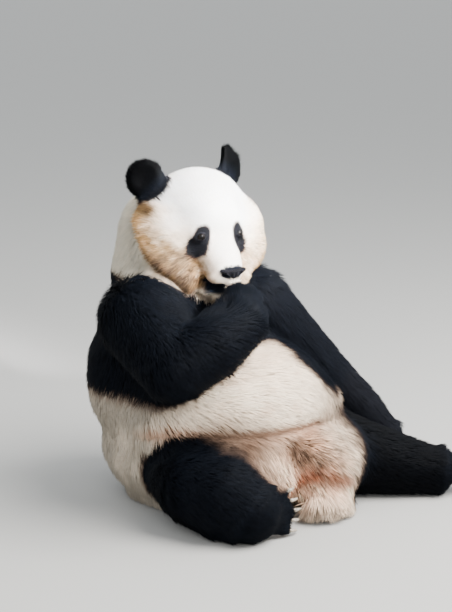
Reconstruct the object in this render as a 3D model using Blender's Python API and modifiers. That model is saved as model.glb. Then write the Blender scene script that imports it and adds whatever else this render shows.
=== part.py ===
"""A giant panda, life size: a still museum model that sits back on its rump and holds one paw to its mouth.

Every piece is a solid of the coat's outer shape, so the sizes run to the tips of the fur.
The animal faces -Y, its left side is +X and +Z is up. The origin is on the flat under its seat.
Each mass of the body is a ball or a chain of balls. The masses of one group are fused and smoothed,
neighbours are cut to meet with a thin gap, and limbs are parted by thin flat cuts at their joints.
"""

import math

import bmesh
import bpy
from mathutils import Euler, Matrix, Vector

# ---------------------------------------------------------------------------------------------
# Driving dimensions, in metres and degrees
# ---------------------------------------------------------------------------------------------
GAP = 0.0003  # clearance where two pieces meet
CUT = 0.0006  # width of the thin cut that parts a limb at a joint
VOXEL = 0.010  # grid of the fusing remesh on the body
FINE_VOXEL = 0.005  # grid on the head, hands and feet

HEAD_PLACE = Vector((-0.02, 0.10, 0.715))
HEAD_YAW = -24.5  # the head is turned to the animal's right
HEAD_PITCH = 2.5  # and nods a little

# Joints of the limbs, each at the middle of the flesh, with the radius of the coat round it
RIGHT_ARM = {
    "shoulder": ((-0.195, 0.135, 0.510), 0.122),
    "elbow": ((-0.285, -0.030, 0.432), 0.092),
    "forearm": ((-0.205, -0.085, 0.480), 0.088),
    "wrist": ((-0.130, -0.120, 0.530), 0.070),
}
LEFT_ARM = {
    "shoulder": ((0.215, 0.110, 0.480), 0.110),
    "elbow": ((0.350, -0.030, 0.275), 0.082),
    "forearm": ((0.420, -0.090, 0.180), 0.076),
    "wrist": ((0.475, -0.140, 0.100), 0.062),
}
RIGHT_LEG = {
    "hip": ((-0.120, 0.070, 0.130), 0.118),
    "knee": ((-0.226, -0.045, 0.120), 0.102),
    "shin": ((-0.212, -0.118, 0.114), 0.112),
    "ankle": ((-0.196, -0.192, 0.080), 0.084),
}
LEFT_LEG = {
    "hip": ((0.150, 0.000, 0.140), 0.140),
    "thigh": ((0.210, -0.120, 0.125), 0.122),
    "knee": ((0.280, -0.220, 0.100), 0.098),
    "shin": ((0.335, -0.300, 0.082), 0.080),
    "ankle": ((0.385, -0.365, 0.068), 0.066),
}

# Hands and feet: where the palm starts, which way the toes and the furry back face, and their sizes
HAND_WIDTH, HAND_LENGTH = 0.115, 0.120
FOOT_WIDTH, FOOT_LENGTH = 0.112, 0.146
RIGHT_HAND = {
    "place": (-0.100, -0.112, 0.552),
    "forward": (0.02, 0.55, 0.45),
    "back": (-0.45, -0.70, 0.50),
    "curl": 70,
}
LEFT_HAND = {
    "place": (0.505, -0.172, 0.058),
    "forward": (0.62, -0.75, -0.04),
    "back": (0.10, 0.10, 1.00),
    "curl": 15,
}
RIGHT_FOOT = {
    "place": (-0.190, -0.200, 0.066),
    "forward": (0.80, -0.54, 0.00),
    "back": (-0.50, -0.80, 0.25),
    "curl": 12,
}
LEFT_FOOT = {
    "place": (0.420, -0.405, 0.066),
    "forward": (0.62, -0.70, 0.22),
    "back": (0.55, 0.40, 0.65),
    "curl": 8,
}
CLAW_LENGTH = 0.034
CLAW_RADIUS = 0.0064
CLAW_VOXEL = 0.0020
CLAW_ARC = 70.0  # degrees that a claw bends through
BEND_REACH, END_REACH = 0.25, 0.12  # how far the cuts through a limb reach from its middle line

# How many triangles each group of masses is thinned to
TRIANGLES = {
    "trunk": 1070,
    "head": 1080,
    "jaw": 120,
    "nose": 90,
    "tail": 100,
    "ear": 110,
    "ear_cup": 60,
    "eye": 80,
    "limb": 460,
    "claw": 32,
}

ARM_NAMES = {"bend": "elbow", "upper": "upper_arm", "lower": "forearm", "end": "hand"}
LEG_NAMES = {"bend": "knee", "upper": "thigh", "lower": "shin", "end": "foot"}
LIMBS = {
    "arm_right": (RIGHT_ARM, RIGHT_HAND, HAND_WIDTH, HAND_LENGTH, ARM_NAMES),
    "arm_left": (LEFT_ARM, LEFT_HAND, HAND_WIDTH, HAND_LENGTH, ARM_NAMES),
    "leg_right": (RIGHT_LEG, RIGHT_FOOT, FOOT_WIDTH, FOOT_LENGTH, LEG_NAMES),
    "leg_left": (LEFT_LEG, LEFT_FOOT, FOOT_WIDTH, FOOT_LENGTH, LEG_NAMES),
}

# Flat cuts across the trunk: a point on each, its normal and how far it reaches
TRUNK_CUTS = [
    ((0, 0.20, 0.595), (0, 0, 1), 0.45),
    ((0, 0.14, 0.365), (0, 0.354, 1), 0.50),
]
TRUNK_PARTS = {
    "neck": (0, 0.19, 0.66),
    "chest": (0, 0.19, 0.48),
    "belly": (0, 0.05, 0.20),
}

# Colours, as the coat looks in soft daylight
BLACK_FUR = (0.012, 0.012, 0.014)
WHITE_FUR = (0.62, 0.55, 0.46)
HEAD_FUR = (0.78, 0.74, 0.68)
NOSE_LEATHER = (0.02, 0.02, 0.022)
EYE_BROWN = (0.015, 0.008, 0.005)
CLAW_HORN = (0.60, 0.57, 0.50)


# ---------------------------------------------------------------------------------------------
# Tools
# ---------------------------------------------------------------------------------------------
def material(name, colour, roughness):
    made = bpy.data.materials.get(name) or bpy.data.materials.new(name)
    made.use_nodes = True
    shader = made.node_tree.nodes["Principled BSDF"]
    shader.inputs["Base Color"].default_value = (*colour, 1.0)
    shader.inputs["Roughness"].default_value = roughness
    shader.inputs["Metallic"].default_value = 0.0
    made.diffuse_color = (*colour, 1.0)
    return made


def ball(centre, radii, turn=(0, 0, 0)):
    """One mass: a ball stretched to three radii, then turned by degrees about X, Y and Z."""
    if isinstance(radii, float):
        radii = (radii,) * 3
    angles = Euler([math.radians(a) for a in turn])
    return Matrix.LocRotScale(Vector(centre), angles, Vector(radii))


def chain(places, radii, overlap=0.35):
    """Balls from place to place, close enough together to read as one tapered limb."""
    masses = []
    for start, end, first, last in zip(places, places[1:], radii, radii[1:]):
        start, end = Vector(start), Vector(end)
        count = max(2, round((end - start).length / (min(first, last) * overlap)))
        for step in range(count + 1):
            share = step / count
            masses.append(ball(start.lerp(end, share), first + (last - first) * share))
    return masses


def mirrored(masses):
    """The same masses on the other side of the plane x = 0, for balls that aren't turned."""
    flip = Matrix.Diagonal((-1, 1, 1, 1))
    return masses + [flip @ mass @ flip for mass in masses]


def new_object(name, mesh):
    made = bpy.data.objects.new(name, mesh)
    PIECES.objects.link(made)
    return made


def applied(obj):
    """The object with its modifiers made part of its mesh."""
    bpy.context.view_layer.update()
    graph = bpy.context.evaluated_depsgraph_get()
    mesh = bpy.data.meshes.new_from_object(obj.evaluated_get(graph))
    old = obj.data
    obj.modifiers.clear()
    obj.data = mesh
    bpy.data.meshes.remove(old)
    return obj


def fused(name, masses, voxel, smoothing):
    """All masses joined into one closed form, its creases softened, and thinned to its count of triangles."""
    one = bmesh.new()
    bmesh.ops.create_uvsphere(one, u_segments=32, v_segments=16, radius=1.0)
    form = bmesh.new()
    for mass in masses:
        mesh = bpy.data.meshes.new(name)
        one.to_mesh(mesh)
        mesh.transform(mass)
        form.from_mesh(mesh)
        bpy.data.meshes.remove(mesh)
    mesh = bpy.data.meshes.new(name)
    form.to_mesh(mesh)
    form.free()
    one.free()
    obj = new_object(name, mesh)
    remesh = obj.modifiers.new("fuse", "REMESH")
    remesh.mode = "VOXEL"
    remesh.voxel_size = voxel
    soften = obj.modifiers.new("soften", "SMOOTH")
    soften.factor = 0.5
    soften.iterations = smoothing
    applied(obj)
    thin = obj.modifiers.new("thin", "DECIMATE")
    thin.ratio = TRIANGLES[name] / (2 * len(obj.data.polygons))
    thin.use_collapse_triangulate = True
    return applied(obj)


def largest_body(obj):
    """Drops the crumbs that a cut can leave, and keeps the body with the most faces."""
    form = bmesh.new()
    form.from_mesh(obj.data)
    bodies = islands(form)
    keep = max(bodies, key=len)
    drop = [face for body in bodies if body is not keep for face in body]
    bmesh.ops.delete(form, geom=drop, context="FACES")
    form.to_mesh(obj.data)
    form.free()


def islands(form):
    """The faces of each connected body of a mesh."""
    left, bodies = set(form.faces), []
    while left:
        todo = [left.pop()]
        body = []
        while todo:
            face = todo.pop()
            body.append(face)
            for edge in face.edges:
                for other in edge.link_faces:
                    if other in left:
                        left.remove(other)
                        todo.append(other)
        bodies.append(body)
    return bodies


def cut_by(obj, cutter):
    """Takes the cutter's space out of the object."""
    cut = obj.modifiers.new("cut", "BOOLEAN")
    cut.operation = "DIFFERENCE"
    cut.object = cutter
    applied(obj)


def boxes_meet(one, other):
    """Whether two objects' boxes overlap, with the gap to spare."""
    for axis in range(3):
        a = [v.co[axis] for v in one.data.vertices]
        b = [v.co[axis] for v in other.data.vertices]
        if min(a) > max(b) + GAP or min(b) > max(a) + GAP:
            return False
    return True


def make_room(obj, *neighbours):
    """Cuts the object back from each neighbour, with the thin gap between them."""
    for neighbour in neighbours:
        if not boxes_meet(obj, neighbour):
            continue
        grown = new_object("grown", neighbour.data.copy())
        swell = grown.modifiers.new("swell", "DISPLACE")
        swell.strength = GAP * 1.2
        swell.mid_level = 0.0
        applied(grown)
        cut_by(obj, grown)
        bpy.data.objects.remove(grown)
    largest_body(obj)


def flat_below(obj):
    """Trims the object flat where it rests on the floor."""
    form = bmesh.new()
    form.from_mesh(obj.data)
    everything = form.verts[:] + form.edges[:] + form.faces[:]
    made = bmesh.ops.bisect_plane(
        form, geom=everything, plane_co=(0, 0, 0), plane_no=(0, 0, -1), clear_outer=True
    )
    rim = [e for e in made["geom_cut"] if isinstance(e, bmesh.types.BMEdge)]
    if rim:
        bmesh.ops.holes_fill(form, edges=rim, sides=0)
    form.to_mesh(obj.data)
    form.free()


def part_at(obj, cuts, names):
    """Parts the object by thin flat cuts, then names each body by the place nearest its middle."""
    for place, along, reach in cuts:
        form = bmesh.new()
        facing = Vector(along).to_track_quat("Z", "Y").to_matrix().to_4x4()
        bmesh.ops.create_cone(
            form,
            cap_ends=True,
            segments=24,
            radius1=reach,
            radius2=reach,
            depth=CUT,
            matrix=Matrix.Translation(place) @ facing,
        )
        mesh = bpy.data.meshes.new("blade")
        form.to_mesh(mesh)
        form.free()
        blade = new_object("blade", mesh)
        cut_by(obj, blade)
        bpy.data.objects.remove(blade)
    form = bmesh.new()
    form.from_mesh(obj.data)
    bodies = sorted(islands(form), key=len, reverse=True)[: len(names)]
    middles = []
    for body in bodies:
        total = sum(face.calc_area() for face in body)
        middles.append(sum((f.calc_center_median() * f.calc_area() for f in body), Vector()) / total)
    number = {face.index: n for n, body in enumerate(bodies) for face in body}
    form.free()
    made = {}
    for name, place in names.items():
        nearest = min(range(len(bodies)), key=lambda n: (middles[n] - Vector(place)).length)
        part = bmesh.new()
        part.from_mesh(obj.data)
        part.faces.ensure_lookup_table()
        drop = [face for face in part.faces if number.get(face.index) != nearest]
        bmesh.ops.delete(part, geom=drop, context="FACES")
        mesh = bpy.data.meshes.new(name)
        part.to_mesh(mesh)
        part.free()
        made[name] = new_object(name, mesh)
    bpy.data.objects.remove(obj)
    return made


def finish(obj, name, look):
    obj.name = name
    obj.data.name = name
    obj.data.materials.clear()
    obj.data.materials.append(look)
    obj.data.shade_smooth()
    obj.data.set_sharp_from_angle(angle=math.radians(50))


# ---------------------------------------------------------------------------------------------
# The head: skull, cheeks and muzzle in a frame of its own, x to its left, y back and z up
# ---------------------------------------------------------------------------------------------
def head_frame():
    turn = Euler((math.radians(HEAD_PITCH), 0, math.radians(HEAD_YAW)))
    return Matrix.Translation(HEAD_PLACE) @ turn.to_matrix().to_4x4()


def in_head(masses):
    return [head_frame() @ mass for mass in masses]


def head_masses():
    skull = [ball((0, 0.012, 0.030), (0.135, 0.138, 0.128))]
    temples = mirrored([ball((0.078, 0.000, 0.008), (0.093, 0.095, 0.088))])
    brow = [ball((0, -0.058, 0.043), (0.090, 0.075, 0.076))]
    cheeks = mirrored([ball((0.082, -0.004, -0.046), (0.090, 0.098, 0.090))])
    muzzle = chain([(0, -0.080, -0.035), (0.003, -0.138, -0.066)], [0.066, 0.047])
    lips = mirrored([ball((0.020, -0.140, -0.086), (0.030, 0.036, 0.027))])
    jowls = mirrored([ball((0.064, -0.062, -0.100), (0.040, 0.044, 0.042))])
    return in_head(skull + temples + brow + cheeks + muzzle + lips + jowls)


def jaw_masses():
    back_of_jaw = ball((0, -0.060, -0.124), (0.058, 0.062, 0.034))
    chin = ball((0, -0.112, -0.143), (0.032, 0.034, 0.022))
    return in_head([back_of_jaw, chin])


def ear_masses(side):
    """A round disc of fur. The left ear is pricked up and seen edge on, so it ends in a blunt tip."""
    disc = ball((side * 0.126, 0.045, 0.126), (0.054, 0.025, 0.054), (0, 0, side * 35))
    if side < 0:
        return in_head([disc])
    pricked = ball((0.107, 0.051, 0.132), (0.053, 0.025, 0.054), (0, -8, 35))
    tip = ball((0.096, 0.046, 0.172), (0.026, 0.018, 0.030), (0, -20, 35))
    return in_head([pricked, tip])


def ear_cup_masses(side):
    """The hollow in the front of an ear."""
    return in_head([ball((side * 0.143, 0.019, 0.130), (0.036, 0.016, 0.036), (0, 0, side * 35))])


def eye_masses(side):
    return in_head([ball((side * 0.052, -0.115, 0.010), 0.013)])


def nose_masses():
    return in_head([ball((0.005, -0.177, -0.072), (0.032, 0.014, 0.017))])


# ---------------------------------------------------------------------------------------------
# The trunk and tail
# ---------------------------------------------------------------------------------------------
def trunk_masses():
    pelvis = [ball((0, 0.130, 0.150), (0.235, 0.272, 0.200))]
    belly = [ball((0, 0.040, 0.255), (0.270, 0.295, 0.205), (-10, 0, 0))]
    paunch = [ball((0.105, -0.115, 0.270), (0.125, 0.125, 0.100))]
    groin = [
        ball((-0.080, -0.102, 0.130), (0.120, 0.135, 0.132)),
        ball((0.115, -0.170, 0.135), (0.140, 0.150, 0.138)),
    ]
    back = [ball((0, 0.215, 0.320), (0.242, 0.215, 0.250))]
    chest = [ball((0, 0.190, 0.460), (0.222, 0.195, 0.190))]
    shoulders = mirrored([ball((0.130, 0.170, 0.500), 0.120)])
    neck = chain([(0, 0.205, 0.580), (-0.015, 0.190, 0.690)], [0.168, 0.148])
    return pelvis + belly + paunch + groin + back + chest + shoulders + neck


def tail_masses():
    return [ball((0.078, -0.240, 0.056), (0.098, 0.070, 0.056))]


# ---------------------------------------------------------------------------------------------
# Limbs, hands, feet and claws
# ---------------------------------------------------------------------------------------------
def limb_masses(joints):
    places = [place for place, _ in joints.values()]
    radii = [radius for _, radius in joints.values()]
    return chain(places, radii)


def hand_frame(hand):
    """A hand or foot's own frame: x across its toes, y towards them and z out of its furry back."""
    y = Vector(hand["forward"]).normalized()
    z = Vector(hand["back"])
    z = (z - y * z.dot(y)).normalized()
    turn = Matrix((y.cross(z), y, z)).transposed().to_4x4()
    return Matrix.Translation(hand["place"]) @ turn


def toe_line(hand, number, width, length):
    """Where a toe starts and ends in the hand's frame, and which way its tip points. 0 is the middle toe."""
    start = Vector((number * width * 0.19, length * 0.42 - abs(number) * length * 0.05, 0.0))
    bend = math.radians(hand["curl"])
    along = Vector((number * 0.06, math.cos(bend), -math.sin(bend))).normalized()
    return start, start + along * length * 0.30, along


def hand_masses(hand, width, length):
    """A palm and five short toes."""
    masses = [ball((0, length * 0.15, 0), (width * 0.52, length * 0.48, width * 0.36))]
    for number in range(-2, 3):
        start, end, _ = toe_line(hand, number, width, length)
        masses += chain([start, end], [width * 0.155, width * 0.130])
    return [hand_frame(hand) @ mass for mass in masses]


def claw_masses(hand, number, width, length):
    """A horn that leaves the top of the toe's tip and arcs down over CLAW_LENGTH."""
    _, end, along = toe_line(hand, number, width, length)
    down = Vector((0, along.z, -along.y)).normalized()
    root = end + along * width * 0.07 - down * width * 0.03
    places, radii = [], []
    for step in range(6):
        share = step / 5
        arc = math.radians(CLAW_ARC) * share
        places.append(root + (along * math.sin(arc) + down * (1 - math.cos(arc))) * CLAW_LENGTH)
        radii.append(CLAW_RADIUS * (1 - 0.72 * share))
    return [hand_frame(hand) @ mass for mass in chain(places, radii, 0.6)]


def bisecting(before, at, after):
    """The normal of the flat cut that parts a limb at a joint."""
    first = (Vector(at) - Vector(before)).normalized()
    second = (Vector(after) - Vector(at)).normalized()
    return (first + second).normalized()


def part_limb(limb, name, joints, hand, names):
    """Parts a limb at its middle joint and at its wrist or ankle."""
    places = [Vector(place) for place, _ in joints.values()]
    middle = Vector(joints[names["bend"]][0])
    upper, last, palm = places[0], places[-1], Vector(hand["place"])
    cuts = [
        (middle, bisecting(upper, middle, last), BEND_REACH),
        (last, bisecting(middle, last, palm), END_REACH),
    ]
    side = name.split("_")[1]
    parts = {
        f"{names['upper']}_{side}": upper.lerp(middle, 0.6),
        f"{names['lower']}_{side}": middle.lerp(last, 0.5),
        f"{names['end']}_{side}": palm,
    }
    return part_at(limb, cuts, parts)


PIECES = bpy.data.collections.new("giant_panda")


def main():
    for old in list(bpy.data.objects):
        bpy.data.objects.remove(old)
    bpy.context.scene.collection.children.link(PIECES)
    looks = {
        "black": material("black_fur", BLACK_FUR, 0.9),
        "white": material("white_fur", WHITE_FUR, 0.9),
        "pale": material("head_fur", HEAD_FUR, 0.9),
        "leather": material("nose_leather", NOSE_LEATHER, 0.45),
        "eye": material("eye", EYE_BROWN, 0.1),
        "horn": material("claw_horn", CLAW_HORN, 0.5),
    }

    trunk = fused("trunk", trunk_masses(), VOXEL, 16)
    head = fused("head", head_masses(), FINE_VOXEL, 20)
    jaw = fused("jaw", jaw_masses(), FINE_VOXEL, 4)
    nose = fused("nose", nose_masses(), FINE_VOXEL / 2, 2)
    tail = fused("tail", tail_masses(), VOXEL, 4)
    ears, eyes = {}, {}
    for side, word in ((-1, "right"), (1, "left")):
        ears[word] = fused("ear", ear_masses(side), FINE_VOXEL, 2)
        cup = fused("ear_cup", ear_cup_masses(side), FINE_VOXEL, 0)
        cut_by(ears[word], cup)
        bpy.data.objects.remove(cup)
        eyes[word] = fused("eye", eye_masses(side), FINE_VOXEL / 2, 0)
    limbs, claws = {}, {}
    for name, (joints, hand, width, length, _) in LIMBS.items():
        masses = limb_masses(joints) + hand_masses(hand, width, length)
        limbs[name] = fused("limb", masses, FINE_VOXEL, 8)
        for number in range(-2, 3):
            claw = fused("claw", claw_masses(hand, number, width, length), CLAW_VOXEL, 1)
            claws[f"claw_{name}_{number + 3}"] = claw

    # Cut each piece back from those that keep their shape where they meet
    make_room(head, nose, *eyes.values())
    make_room(jaw, head, *claws.values())
    for ear in ears.values():
        make_room(ear, head)
    make_room(trunk, head, jaw, *ears.values(), *claws.values())
    make_room(tail, trunk, *claws.values())
    for name, limb in limbs.items():
        own_claws = [claw for claw_name, claw in claws.items() if name in claw_name]
        make_room(limb, trunk, head, jaw, tail, *own_claws)
    make_room(limbs["arm_left"], limbs["leg_left"])
    make_room(limbs["arm_right"], limbs["leg_right"])
    for obj in (trunk, tail, *limbs.values()):
        flat_below(obj)

    # Part the trunk and the limbs, and give every piece its name and look
    for name, part in part_at(trunk, TRUNK_CUTS, TRUNK_PARTS).items():
        finish(part, name, looks["black" if name == "chest" else "white"])
    for name, limb in limbs.items():
        joints, hand, _, _, names = LIMBS[name]
        for part_name, part in part_limb(limb, name, joints, hand, names).items():
            finish(part, part_name, looks["black"])
    finish(head, "head", looks["pale"])
    finish(jaw, "jaw", looks["pale"])
    finish(nose, "nose", looks["leather"])
    finish(tail, "tail", looks["white"])
    for word in ("right", "left"):
        finish(ears[word], f"ear_{word}", looks["black"])
        finish(eyes[word], f"eye_{word}", looks["eye"])
    for name, claw in claws.items():
        finish(claw, name, looks["horn"])


main()
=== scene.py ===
"""The looks of a life-size giant panda that sits with a paw at its mouth: hide, coat, eyes, nose, claws.

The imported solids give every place: they reach to the tips of the fur, and the hide lies inside them.
The animal faces -Y, its left side is +X and +Z is up. Lengths are in metres.
"""

import math

import bmesh
import bpy
import numpy as np
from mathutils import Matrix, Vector
from mathutils.bvhtree import BVHTree
from mathutils.kdtree import KDTree


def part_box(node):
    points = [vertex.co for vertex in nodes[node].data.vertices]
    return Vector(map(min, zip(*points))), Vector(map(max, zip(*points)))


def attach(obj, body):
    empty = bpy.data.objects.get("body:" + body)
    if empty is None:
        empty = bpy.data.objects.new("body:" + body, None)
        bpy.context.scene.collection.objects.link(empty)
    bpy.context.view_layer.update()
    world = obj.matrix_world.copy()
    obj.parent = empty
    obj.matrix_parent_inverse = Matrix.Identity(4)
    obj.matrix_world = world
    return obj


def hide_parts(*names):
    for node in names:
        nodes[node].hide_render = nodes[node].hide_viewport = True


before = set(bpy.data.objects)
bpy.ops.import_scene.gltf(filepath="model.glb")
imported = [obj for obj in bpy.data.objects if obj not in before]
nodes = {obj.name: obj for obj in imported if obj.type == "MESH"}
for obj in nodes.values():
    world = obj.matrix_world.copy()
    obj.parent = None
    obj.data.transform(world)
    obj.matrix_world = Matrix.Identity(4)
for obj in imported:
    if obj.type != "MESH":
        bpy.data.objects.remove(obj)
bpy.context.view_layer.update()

# --- The hide -------------------------------------------------------------------------------------
# The whole skin of the animal in one piece, drawn over a carved body and sewn shut, so no seam shows.
# It lies inside the solids by the depth of the coat: deep under the long hair of trunk and limbs,
# shallow on the face, the hands and the feet.
SIDES = ("right", "left")
ARM = ("upper_arm", "forearm", "hand")
LEG = ("thigh", "shin", "foot")
FLESH = ["head", "jaw", "neck", "chest", "belly", "tail"]
for side in SIDES:
    FLESH += [f"{part}_{side}" for part in ("ear", *ARM, *LEG)]
HIDE_VOXEL = 0.0064
OVERLAP = 0.0022  # the solids are swelled by this much, so that they join over their thin gaps
WELD = 0.00001  # corners closer than this become one


def pick(obj):
    """Selects this object alone and makes it the active one."""
    bpy.ops.object.select_all(action="DESELECT")
    obj.select_set(True)
    bpy.context.view_layer.objects.active = obj


def copy_of(node_name, name):
    """A copy of a solid, with its own mesh."""
    obj = bpy.data.objects.new(name, nodes[node_name].data.copy())
    bpy.context.collection.objects.link(obj)
    return obj


def weld():
    """Joins the loose triangles of the active object at their corners."""
    bpy.ops.object.mode_set(mode="EDIT")
    bpy.ops.mesh.select_all(action="SELECT")
    bpy.ops.mesh.remove_doubles(threshold=WELD)
    bpy.ops.object.mode_set(mode="OBJECT")


copies = [copy_of(name, "flesh") for name in (*FLESH, "nose", "eye_right", "eye_left")]
pick(copies[0])
for copy in copies:
    copy.select_set(True)
bpy.ops.object.join()
hide = bpy.context.object
hide.name = hide.data.name = "hide"
hide.data.materials.clear()
weld()
swell = hide.modifiers.new("swell", "DISPLACE")
swell.strength = OVERLAP
swell.mid_level = 0.0
fuse = hide.modifiers.new("fuse", "REMESH")
fuse.mode = "VOXEL"
fuse.voxel_size = HIDE_VOXEL
for modifier in ("swell", "fuse"):
    bpy.ops.object.modifier_apply(modifier=modifier)


def read(items, what, width, kind=np.float32):
    """A row of this width from each item of one of a mesh's lists."""
    flat = np.empty(len(items) * width, kind)
    items.foreach_get(what, flat)
    return flat.reshape(-1, width)


def points_of(obj, what="co"):
    """The places of an object's points, or their normals."""
    return read(obj.data.vertices, what, 3).astype(float)


def edges_of(obj):
    return read(obj.data.edges, "vertices", 2, np.int32)


def move_points(obj, places):
    obj.data.vertices.foreach_set("co", np.ascontiguousarray(places, np.float32).ravel())
    obj.data.update()


PUSH_BACK = -1.025  # the strength of the steps that undo the shrinking, against that of the others


def relaxed(values, edges, strength, rounds, keep_size=False):
    """Each row moved towards the mean of its neighbours. With keep_size each step is then pushed back."""
    degree = np.bincount(edges.ravel(), minlength=len(values))[:, None].clip(1)
    strength = np.broadcast_to(strength, len(values))[:, None]
    for step in range(rounds * (2 if keep_size else 1)):
        mean = np.empty_like(values)
        for column in range(values.shape[1]):
            along = np.bincount(edges[:, 0], values[edges[:, 1], column], len(values))
            mean[:, column] = along + np.bincount(edges[:, 1], values[edges[:, 0], column], len(values))
        share = PUSH_BACK * strength if keep_size and step % 2 else strength
        values = values + share * (mean / degree - values)
    return values


def smoothstep(low, high, value):
    """0 at low, 1 at high, with a soft start and end. Low may be the greater of the two."""
    share = np.clip((value - low) / (high - low), 0.0, 1.0)
    return share * share * (3 - 2 * share)


def bump_at(value, width):
    """1 where the value is 0, fading out over this width on both sides."""
    return np.exp(-((value / width) ** 2))


def length_of(rows):
    return np.linalg.norm(rows, axis=1)


def unit(rows):
    return rows / np.maximum(np.linalg.norm(rows, axis=-1, keepdims=True), 1e-9)


def middle(name):
    return np.array(sum(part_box(name), Vector()) / 2)


def tree_of_solids(names):
    """A search tree over the faces of these solids, and for each face the number of its solid."""
    points, faces, owner = [], [], []
    for number, name in enumerate(names):
        mesh = nodes[name].data
        start = len(points)
        points += [v.co for v in mesh.vertices]
        faces += [[start + v for v in polygon.vertices] for polygon in mesh.polygons]
        owner += [number] * len(mesh.polygons)
    return BVHTree.FromPolygons(points, faces), owner


def tree_of_points(places):
    tree = KDTree(len(places))
    for number, place in enumerate(places):
        tree.insert(place, number)
    tree.balance()
    return tree


# Which solid each point of the hide belongs to, as weights that fade over a few centimetres
flesh_tree, flesh_owner = tree_of_solids(FLESH)


def owner_weights(obj):
    """How much each point belongs to each solid: the nearest one's, blurred along the surface."""
    owner = [flesh_owner[flesh_tree.find_nearest(Vector(place))[2]] for place in points_of(obj)]
    return relaxed(np.eye(len(FLESH))[owner], edges_of(obj), 0.6, 5)


def part_of(name):
    """A solid's name without its side."""
    return name.removesuffix("_right").removesuffix("_left")


def part_weight(weights, *parts):
    """How much of each point belongs to these parts, on both sides."""
    return weights[:, [part_of(name) in parts for name in FLESH]].sum(axis=1)


def solid_weight(weights, *names):
    """How much of each point belongs to these solids."""
    return weights[:, [name in names for name in FLESH]].sum(axis=1)


def by_part(table, default=0.0):
    """One value for each solid, from a table by the name of its part."""
    return np.array([table.get(part_of(name), default) for name in FLESH])


# The head's own frame: x to its left, y back, z up, from the places of the eyes and the nose
EYE_IN_HEAD = (0.052, -0.115, 0.010)
NOSE_IN_HEAD = (0.005, -0.177, -0.072)
between_eyes = (middle("eye_left") + middle("eye_right")) / 2
head_x = unit(middle("eye_left") - middle("eye_right"))
to_nose = middle("nose") - between_eyes
to_nose = unit(to_nose - head_x * (to_nose @ head_x))
square_to_nose = np.cross(head_x, to_nose)
nose_y, nose_z = unit(np.array([NOSE_IN_HEAD[1] - EYE_IN_HEAD[1], NOSE_IN_HEAD[2] - EYE_IN_HEAD[2]]))
head_y = nose_y * to_nose - nose_z * square_to_nose
head_z = nose_z * to_nose + nose_y * square_to_nose
head_origin = between_eyes - head_y * EYE_IN_HEAD[1] - head_z * EYE_IN_HEAD[2]


def in_head(places):
    away = places - head_origin
    return np.stack([away @ head_x, away @ head_y, away @ head_z], axis=1)


def from_head(place):
    return head_origin + head_x * place[0] + head_y * place[1] + head_z * place[2]


def folded(local):
    """Places in the head with its two sides as one: x counts outwards from the middle."""
    return np.column_stack([np.abs(local[:, 0]), local[:, 1:]])


def face_front(local):
    """1 on the muzzle and round the eyes, 0 on the cheeks and the back of the head."""
    return smoothstep(-0.055, -0.125, local[:, 1])


# Where the long hair of the cheeks ends, in a fringe over the neck: how far back at each height
FRINGE_HEIGHTS = (-0.170, -0.135, -0.099, -0.078, -0.059, -0.036, -0.010, 0.017, 0.042, 0.063, 0.085)
FRINGE_BACK = (-0.100, -0.078, -0.074, -0.068, -0.054, -0.040, -0.016, -0.001, 0.033, 0.053, 0.070)
FRINGE_SLANT = 0.8  # the fringe slants, so the way straight across it is this share of the way back
EAR_BOTTOM, EAR_ROOT = 0.066, 0.092


def behind_fringe(local):
    """How far each place lies behind the edge of the ruff, below 0 on the face."""
    return FRINGE_SLANT * (local[:, 1] - np.interp(local[:, 2], FRINGE_HEIGHTS, FRINGE_BACK))


def below_ears(local):
    return smoothstep(EAR_ROOT, EAR_BOTTOM, local[:, 2])


def ruff(local):
    """1 on the long hair of the cheeks, which frames the face from under the ears to the chin."""
    behind = behind_fringe(local)
    return smoothstep(-0.075, -0.015, behind) * smoothstep(0.014, 0.004, behind) * below_ears(local)


# The depth of the coat over each part, and how much the carving is smoothed there
COAT_DEPTH = {
    "head": 0.010, "jaw": 0.006, "neck": 0.020, "chest": 0.022, "belly": 0.022, "tail": 0.018,
    "ear": 0.011, "upper_arm": 0.022, "forearm": 0.021, "hand": 0.010, "thigh": 0.021, "shin": 0.020,
    "foot": 0.008,
}
EVENNESS = {"head": 0.70, "jaw": 0.5, "ear": 0.6, "hand": 0.5, "foot": 0.5}
OTHER_EVENNESS = 0.75
RUFF_EXTRA = 0.003
TEMPLE = (0.105, -0.045, 0.075)  # in the head's frame, where the coat is deeper by TEMPLE_EXTRA
TEMPLE_EXTRA = 0.009
FACE_THINNING = 0.72  # the share of the depth that is lost at the front of the face,
TOE_THINNING = 0.65  # beside the claws,
FLOOR_THINNING = 0.75  # and where the body is pressed on the floor
claw_names = [name for name in nodes if name.startswith("claw_")]
claw_tree = tree_of_points([middle(name) for name in claw_names])


def gap_to_claws(places):
    return np.array([claw_tree.find(place)[2] for place in places])


def coat_depth(places, weights):
    """The coat is deepest on trunk and limbs. It thins out over the muzzle, the toes and the floor."""
    local = in_head(places)
    face = part_weight(weights, "head", "jaw")
    depth = weights @ by_part(COAT_DEPTH)
    depth = depth * (1 - FACE_THINNING * face * face_front(local)) + face * ruff(local) * RUFF_EXTRA
    depth = depth + face * TEMPLE_EXTRA * bump_at(length_of(folded(local) - TEMPLE), 0.065)
    depth = depth * (1 - TOE_THINNING * smoothstep(0.042, 0.018, gap_to_claws(places)))
    return depth * (1 - FLOOR_THINNING * smoothstep(0.035, 0.0, places[:, 2]))


def even_coat_depth(places, weights, edges):
    return relaxed(coat_depth(places, weights)[:, None], edges, 0.7, 6)[:, 0]


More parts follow.
